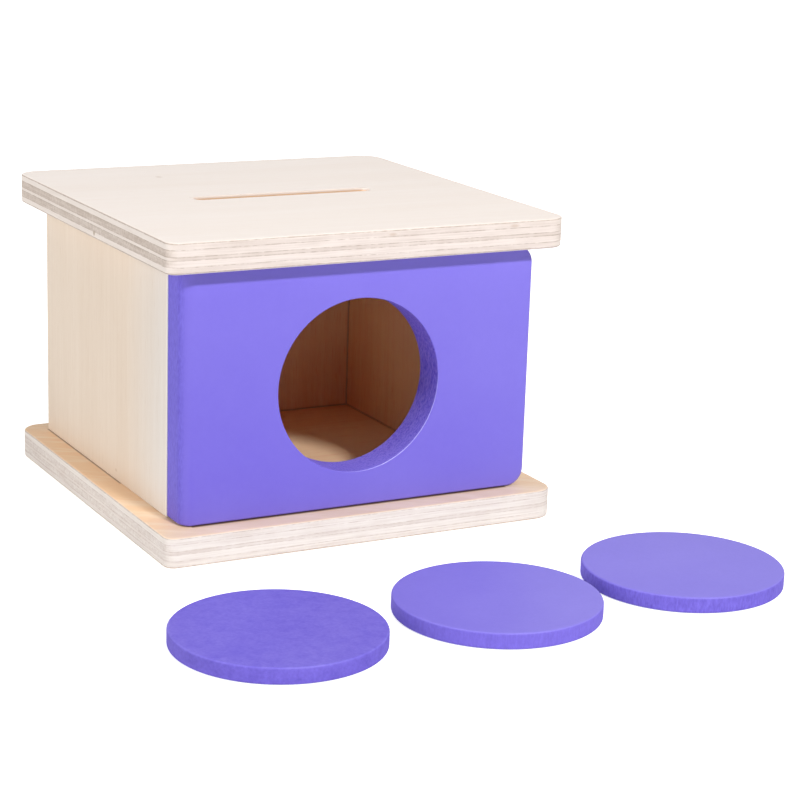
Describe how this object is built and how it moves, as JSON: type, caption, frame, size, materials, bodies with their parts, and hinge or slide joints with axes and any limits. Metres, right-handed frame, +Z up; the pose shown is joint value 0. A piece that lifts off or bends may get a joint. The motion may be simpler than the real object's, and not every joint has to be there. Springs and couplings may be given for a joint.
{
  "type": "object permanence box",
  "caption": "Wooden posting box with overhanging plywood base and top, a slot in the top, a swinging painted front door with a round finger hole, and loose painted discs lying in front.",
  "frame": {"origin": "centre of the base board's underside, on the table that the box stands on", "axes": "+X to the right seen from the front, +Y to the back, +Z up; the door and the slot's long side face -Y"},
  "size_m": [0.2466, 0.2981, 0.125],
  "materials": {
    "birch_plywood": "pale plywood, clear matt lacquer, layered edges",
    "birch_wall": "pale wood with upright grain, clear matt lacquer",
    "purple_paint": "wood under satin purple paint",
    "pin_steel": "plain drawn steel",
    "dowel_beech": "bare beech"
  },
  "bodies": {
    "case": {"base_board": "birch_plywood", "top_board": "birch_plywood", "left_wall": "birch_wall", "right_wall": "birch_wall", "back_wall": "birch_wall", "lower_pivot_pin": "pin_steel", "upper_pivot_pin": "pin_steel", "left_wall_dowels": "dowel_beech", "right_wall_dowels": "dowel_beech", "back_wall_dowels": "dowel_beech"},
    "door": {"front_door": "purple_paint"},
    "left_disc": {"disc_left": "purple_paint"},
    "middle_disc": {"disc_middle": "purple_paint"},
    "right_disc": {"disc_right": "purple_paint"}
  },
  "joints": [
    {"name": "door_swing", "type": "hinge", "parent": "case", "child": "door", "pos_m": [0.0685, -0.07, 0.0625], "axis": [0, 0, 1], "range_deg": [0, 180]},
    {"name": "left_disc_lift", "type": "slide", "parent": "case", "child": "left_disc", "axis": [0, 0, 1], "range_m": [0, 0.16]},
    {"name": "middle_disc_lift", "type": "slide", "parent": "case", "child": "middle_disc", "axis": [0, 0, 1], "range_m": [0, 0.16]},
    {"name": "right_disc_lift", "type": "slide", "parent": "case", "child": "right_disc", "axis": [0, 0, 1], "range_m": [0, 0.16]}
  ]
}
